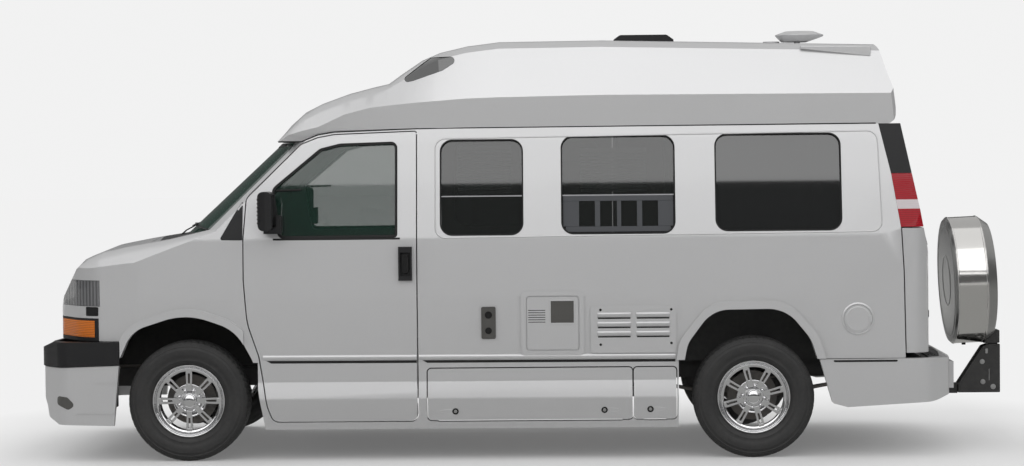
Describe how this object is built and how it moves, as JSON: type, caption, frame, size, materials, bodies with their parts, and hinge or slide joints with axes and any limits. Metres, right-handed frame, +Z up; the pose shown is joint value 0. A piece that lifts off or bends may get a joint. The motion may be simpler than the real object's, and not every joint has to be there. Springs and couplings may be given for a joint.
{
  "type": "camper van",
  "caption": "Silver high-roof camper van on a long-wheelbase cargo van chassis, with tinted cabin windows, storage lids, service hatches and a spare wheel on a tilting rear carrier",
  "frame": {"origin": "on the ground, under the centre of the whole van's bounding box", "axes": "+X toward the rear, +Y toward the passenger's side (right, seen by the driver), +Z up"},
  "size_m": [6.074, 2.38, 2.616],
  "materials": {
    "silver_paint": "metallic silver paint, clear coated",
    "cap_paint": "silver-white gel coat",
    "black_trim": "grained black plastic",
    "glass": "tinted automotive glass",
    "lamp_lens": "clear, amber and red moulded lenses",
    "chrome": "chromed alloy",
    "tyre": "black rubber",
    "polished_steel": "polished stainless sheet",
    "frame_steel": "black chassis paint",
    "cast_metal": "bare castings",
    "cabin_trim": "grey moulded trim",
    "seat_cloth": "grey woven cloth over foam",
    "cabinet_board": "laminated board"
  },
  "bodies": {
    "van_body": {"body_side_left": "silver_paint", "body_side_right": "silver_paint", "nose_shell": "silver_paint", "cowl": "black_trim", "front_lamps": "lamp_lens", "grille": "black_trim", "front_bumper": "black_trim", "air_dam": "silver_paint", "rear_bumper": "silver_paint", "roof_cap": "cap_paint", "cap_windows": "glass", "roof_vent": "black_trim", "antenna": "cap_paint", "body_glass": "glass", "skirts": "silver_paint", "rear_doors": "silver_paint", "rear_door_glass": "glass", "tail_lamps": "lamp_lens", "corner_trims": "black_trim", "service_panels": "silver_paint", "floor_pan": "frame_steel", "wheel_liners": "black_trim", "chassis_frame": "frame_steel", "engine_and_tank": "cast_metal", "dashboard": "cabin_trim", "front_seats": "seat_cloth", "cabinets": "cabinet_board", "front_suspension": "frame_steel", "rear_axle": "cast_metal", "carrier_bracket": "frame_steel"},
    "bonnet_lid": {"bonnet": "silver_paint"},
    "driver_door": {"door_left": "silver_paint", "door_left_glass": "glass", "door_left_fittings": "black_trim"},
    "passenger_door": {"door_right": "silver_paint", "door_right_glass": "glass", "door_right_fittings": "black_trim"},
    "side_leaf_front": {"side_door_front": "silver_paint", "side_door_front_glass": "glass"},
    "side_leaf_rear": {"side_door_rear": "silver_paint", "side_door_rear_glass": "glass"},
    "long_lid": {"storage_lid_long": "silver_paint"},
    "small_lid": {"storage_lid_small": "silver_paint"},
    "service_lid": {"service_door": "silver_paint"},
    "fuel_lid": {"fuel_flap": "silver_paint"},
    "carrier": {"carrier_arm": "frame_steel", "spare_cover": "polished_steel"},
    "steer_left": {"knuckle_left": "cast_metal"},
    "steer_right": {"knuckle_right": "cast_metal"},
    "wheel_front_left": {"tyre_front_left": "tyre", "rim_front_left": "chrome"},
    "wheel_front_right": {"tyre_front_right": "tyre", "rim_front_right": "chrome"},
    "wheel_rear_left": {"tyre_rear_left": "tyre", "rim_rear_left": "chrome"},
    "wheel_rear_right": {"tyre_rear_right": "tyre", "rim_rear_right": "chrome"}
  },
  "joints": [
    {"name": "bonnet_hinge", "type": "hinge", "parent": "van_body", "child": "bonnet_lid", "pos_m": [-2.221, 0, 1.332], "axis": [0, 1, 0], "range_deg": [0, 55]},
    {"name": "driver_door_hinge", "type": "hinge", "parent": "van_body", "child": "driver_door", "pos_m": [-1.673, -1.01, 1.1], "axis": [0, 0, -1], "range_deg": [0, 65]},
    {"name": "passenger_door_hinge", "type": "hinge", "parent": "van_body", "child": "passenger_door", "pos_m": [-1.673, 1.01, 1.1], "axis": [0, 0, 1], "range_deg": [0, 65]},
    {"name": "side_front_hinge", "type": "hinge", "parent": "van_body", "child": "side_leaf_front", "pos_m": [-0.577, 1.012, 1.1], "axis": [0, 0, 1], "range_deg": [0, 90]},
    {"name": "side_rear_hinge", "type": "hinge", "parent": "van_body", "child": "side_leaf_rear", "pos_m": [0.587, 1.012, 1.1], "axis": [0, 0, -1], "range_deg": [0, 90]},
    {"name": "long_lid_hinge", "type": "hinge", "parent": "van_body", "child": "long_lid", "pos_m": [0.052, -1.006, 0.562], "axis": [-1, 0, 0], "range_deg": [0, 85]},
    {"name": "small_lid_hinge", "type": "hinge", "parent": "van_body", "child": "small_lid", "pos_m": [0.807, -1.006, 0.562], "axis": [-1, 0, 0], "range_deg": [0, 85]},
    {"name": "service_hinge", "type": "hinge", "parent": "van_body", "child": "service_lid", "pos_m": [0.193, -1.02, 0.99], "axis": [-1, 0, 0], "range_deg": [0, 100]},
    {"name": "fuel_hinge", "type": "hinge", "parent": "van_body", "child": "fuel_lid", "pos_m": [2.116, -1.012, 0.838], "axis": [0, 0, 1], "range_deg": [0, 100]},
    {"name": "carrier_pivot", "type": "hinge", "parent": "van_body", "child": "carrier", "pos_m": [2.993, 0, 0.332], "axis": [0, 1, 0], "range_deg": [0, 90]},
    {"name": "steer_left", "type": "hinge", "parent": "van_body", "child": "steer_left", "pos_m": [-2.025, -0.742, 0.366], "axis": [0, 0, 1], "range_deg": [-30, 30]},
    {"name": "steer_right", "type": "hinge", "parent": "van_body", "child": "steer_right", "pos_m": [-2.025, 0.742, 0.366], "axis": [0, 0, 1], "range_deg": [-30, 30]},
    {"name": "roll_front_left", "type": "hinge", "parent": "steer_left", "child": "wheel_front_left", "pos_m": [-2.025, -0.868, 0.366], "axis": [0, 1, 0], "continuous": true},
    {"name": "roll_front_right", "type": "hinge", "parent": "steer_right", "child": "wheel_front_right", "pos_m": [-2.025, 0.868, 0.366], "axis": [0, 1, 0], "continuous": true},
    {"name": "roll_rear_left", "type": "hinge", "parent": "van_body", "child": "wheel_rear_left", "pos_m": [1.404, -0.868, 0.366], "axis": [0, 1, 0], "continuous": true},
    {"name": "roll_rear_right", "type": "hinge", "parent": "van_body", "child": "wheel_rear_right", "pos_m": [1.404, 0.868, 0.366], "axis": [0, 1, 0], "continuous": true}
  ],
  "couplings": [
    {"joint": "steer_right", "follows": "steer_left", "ratio": 1}
  ]
}
